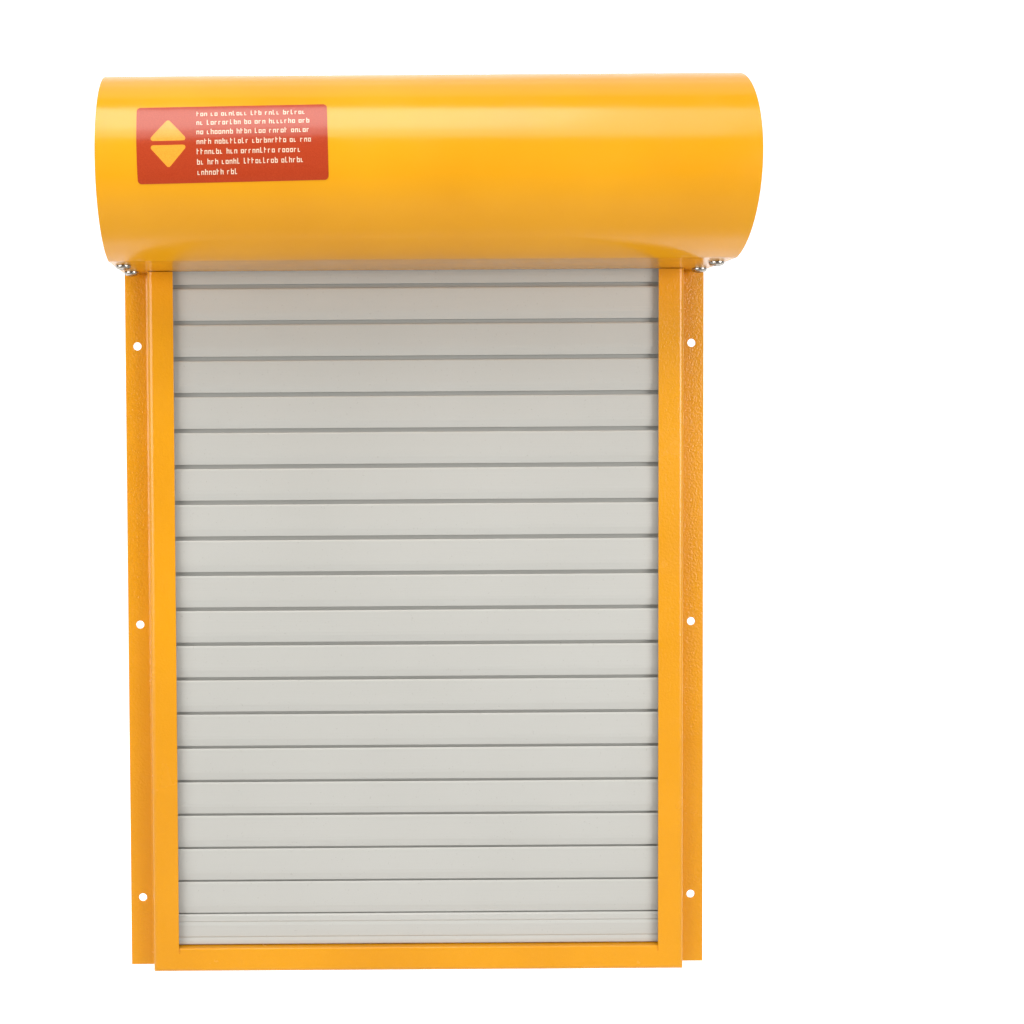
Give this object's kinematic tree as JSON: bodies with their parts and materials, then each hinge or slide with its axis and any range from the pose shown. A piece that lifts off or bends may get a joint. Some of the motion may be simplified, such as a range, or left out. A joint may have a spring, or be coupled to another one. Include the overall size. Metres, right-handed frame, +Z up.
{
  "type": "automatic coop door",
  "caption": "Motor-driven roller-shutter door for a chicken coop: slatted curtain in a folded yellow sheet-metal frame with a round hood over the drum.",
  "frame": {"origin": "middle of the header plate's wall face, on the wall plane, 464 mm above the frame's bottom edge", "axes": "+X across the door to the right as seen from in front, +Y into the wall, +Z up; the front faces -Y"},
  "size_m": [0.363, 0.1083, 0.545],
  "materials": {
    "yellow_paint": "semi-gloss powder coat with a fine orange peel",
    "slat_paint": "satin cream coil coating",
    "screw_steel": "bright",
    "zinc_steel": "galvanised",
    "motor_paint": "satin black",
    "black_plastic": "moulded",
    "rubber": "matt",
    "bronze": "turned",
    "sticker": "printed vinyl"
  },
  "bodies": {
    "frame": {"hood_shell": "yellow_paint", "face_frame": "yellow_paint", "header_plate": "yellow_paint", "sticker": "sticker", "motor_body": "motor_paint", "motor_head": "black_plastic", "motor_bracket": "zinc_steel", "idler_bracket": "zinc_steel", "idler_bush": "bronze", "lead_grommet": "rubber", "hood_end_plate_left": "yellow_paint", "guide_left": "black_plastic", "lead_in_left": "black_plastic", "hanger_strap_left": "screw_steel", "hood_end_plate_right": "yellow_paint", "guide_right": "black_plastic", "lead_in_right": "black_plastic", "hanger_strap_right": "screw_steel", "hood_screw_left_front": "screw_steel", "hood_screw_left_rear": "screw_steel", "hood_screw_right_front": "screw_steel", "hood_screw_right_rear": "screw_steel", "bracket_screw_left_lower": "screw_steel", "bracket_screw_left_upper": "screw_steel", "bracket_screw_right_lower": "screw_steel", "bracket_screw_right_upper": "screw_steel"},
    "drum": {"drum_tube": "zinc_steel", "drive_wheel": "black_plastic", "crown_ring": "black_plastic", "output_shaft": "screw_steel", "idler_cap": "black_plastic", "idler_pin": "screw_steel"},
    "end_bar": {"bottom_bar": "slat_paint", "bottom_seal": "rubber", "bar_cap_left": "black_plastic", "bar_cap_right": "black_plastic"},
    "link_01": {"slat_01": "slat_paint", "hanger_clip_left": "zinc_steel", "hanger_clip_right": "zinc_steel"},
    "link_02": {"slat_02": "slat_paint"},
    "link_03": {"slat_03": "slat_paint"},
    "link_04": {"slat_04": "slat_paint"},
    "link_05": {"slat_05": "slat_paint"},
    "link_06": {"slat_06": "slat_paint"},
    "link_07": {"slat_07": "slat_paint"},
    "link_08": {"slat_08": "slat_paint"},
    "link_09": {"slat_09": "slat_paint"},
    "link_10": {"slat_10": "slat_paint"},
    "link_11": {"slat_11": "slat_paint"},
    "link_12": {"slat_12": "slat_paint"},
    "link_13": {"slat_13": "slat_paint"},
    "link_14": {"slat_14": "slat_paint"},
    "link_15": {"slat_15": "slat_paint"},
    "link_16": {"slat_16": "slat_paint"},
    "link_17": {"slat_17": "slat_paint"},
    "link_18": {"slat_18": "slat_paint"},
    "link_19": {"slat_19": "slat_paint"}
  },
  "joints": [
    {"name": "curtain_lift", "type": "slide", "parent": "frame", "child": "end_bar", "axis": [0, 0, 1], "range_m": [0, 0.4], "deforming": ["slat_01", "slat_02", "slat_03", "slat_04", "slat_05", "slat_06", "slat_07", "slat_08", "slat_09", "slat_10", "slat_11", "slat_12", "slat_13", "slat_14", "slat_15", "slat_16", "slat_17", "slat_18", "slat_19", "hanger_clip_left", "hanger_clip_right", "hanger_strap_left", "hanger_strap_right"]},
    {"name": "drum_turn", "type": "hinge", "parent": "frame", "child": "drum", "pos_m": [0, -0.054, 0.027], "axis": [1, 0, 0], "range_deg": [0, 860]},
    {"name": "slat_01_rise", "type": "slide", "parent": "frame", "child": "link_01", "axis": [0, 0, 1], "range_m": [0, 0.0197]},
    {"name": "slat_02_rise", "type": "slide", "parent": "frame", "child": "link_02", "axis": [0, 0, 1], "range_m": [0, 0.0413]},
    {"name": "slat_03_rise", "type": "slide", "parent": "frame", "child": "link_03", "axis": [0, 0, 1], "range_m": [0, 0.0629]},
    {"name": "slat_04_rise", "type": "slide", "parent": "frame", "child": "link_04", "axis": [0, 0, 1], "range_m": [0, 0.0845]},
    {"name": "slat_05_rise", "type": "slide", "parent": "frame", "child": "link_05", "axis": [0, 0, 1], "range_m": [0, 0.1061]},
    {"name": "slat_06_rise", "type": "slide", "parent": "frame", "child": "link_06", "axis": [0, 0, 1], "range_m": [0, 0.1277]},
    {"name": "slat_07_rise", "type": "slide", "parent": "frame", "child": "link_07", "axis": [0, 0, 1], "range_m": [0, 0.1493]},
    {"name": "slat_08_rise", "type": "slide", "parent": "frame", "child": "link_08", "axis": [0, 0, 1], "range_m": [0, 0.1708]},
    {"name": "slat_09_rise", "type": "slide", "parent": "frame", "child": "link_09", "axis": [0, 0, 1], "range_m": [0, 0.1924]},
    {"name": "slat_10_rise", "type": "slide", "parent": "frame", "child": "link_10", "axis": [0, 0, 1], "range_m": [0, 0.2137]},
    {"name": "slat_11_rise", "type": "slide", "parent": "frame", "child": "link_11", "axis": [0, 0, 1], "range_m": [0, 0.235]},
    {"name": "slat_12_rise", "type": "slide", "parent": "frame", "child": "link_12", "axis": [0, 0, 1], "range_m": [0, 0.2561]},
    {"name": "slat_13_rise", "type": "slide", "parent": "frame", "child": "link_13", "axis": [0, 0, 1], "range_m": [0, 0.277]},
    {"name": "slat_14_rise", "type": "slide", "parent": "frame", "child": "link_14", "axis": [0, 0, 1], "range_m": [0, 0.2978]},
    {"name": "slat_15_rise", "type": "slide", "parent": "frame", "child": "link_15", "axis": [0, 0, 1], "range_m": [0, 0.3185]},
    {"name": "slat_16_rise", "type": "slide", "parent": "frame", "child": "link_16", "axis": [0, 0, 1], "range_m": [0, 0.339]},
    {"name": "slat_17_rise", "type": "slide", "parent": "frame", "child": "link_17", "axis": [0, 0, 1], "range_m": [0, 0.3594]},
    {"name": "slat_18_rise", "type": "slide", "parent": "frame", "child": "link_18", "axis": [0, 0, 1], "range_m": [0, 0.3796]},
    {"name": "slat_19_rise", "type": "slide", "parent": "frame", "child": "link_19", "axis": [0, 0, 1], "range_m": [0, 0.3997]}
  ],
  "couplings": [
    {"joint": "drum_turn", "follows": "curtain_lift", "rad_per_m": 37.4},
    {"joint": "slat_01_rise", "follows": "curtain_lift", "ratio": 0.04804},
    {"joint": "slat_02_rise", "follows": "curtain_lift", "ratio": 0.10202},
    {"joint": "slat_03_rise", "follows": "curtain_lift", "ratio": 0.15599},
    {"joint": "slat_04_rise", "follows": "curtain_lift", "ratio": 0.20997},
    {"joint": "slat_05_rise", "follows": "curtain_lift", "ratio": 0.26395},
    {"joint": "slat_06_rise", "follows": "curtain_lift", "ratio": 0.31792},
    {"joint": "slat_07_rise", "follows": "curtain_lift", "ratio": 0.3719},
    {"joint": "slat_08_rise", "follows": "curtain_lift", "ratio": 0.42587},
    {"joint": "slat_09_rise", "follows": "curtain_lift", "ratio": 0.47967},
    {"joint": "slat_10_rise", "follows": "curtain_lift", "ratio": 0.53311},
    {"joint": "slat_11_rise", "follows": "curtain_lift", "ratio": 0.58618},
    {"joint": "slat_12_rise", "follows": "curtain_lift", "ratio": 0.6389},
    {"joint": "slat_13_rise", "follows": "curtain_lift", "ratio": 0.69126},
    {"joint": "slat_14_rise", "follows": "curtain_lift", "ratio": 0.74326},
    {"joint": "slat_15_rise", "follows": "curtain_lift", "ratio": 0.79492},
    {"joint": "slat_16_rise", "follows": "curtain_lift", "ratio": 0.84622},
    {"joint": "slat_17_rise", "follows": "curtain_lift", "ratio": 0.89718},
    {"joint": "slat_18_rise", "follows": "curtain_lift", "ratio": 0.9478},
    {"joint": "slat_19_rise", "follows": "curtain_lift", "ratio": 0.99807}
  ]
}
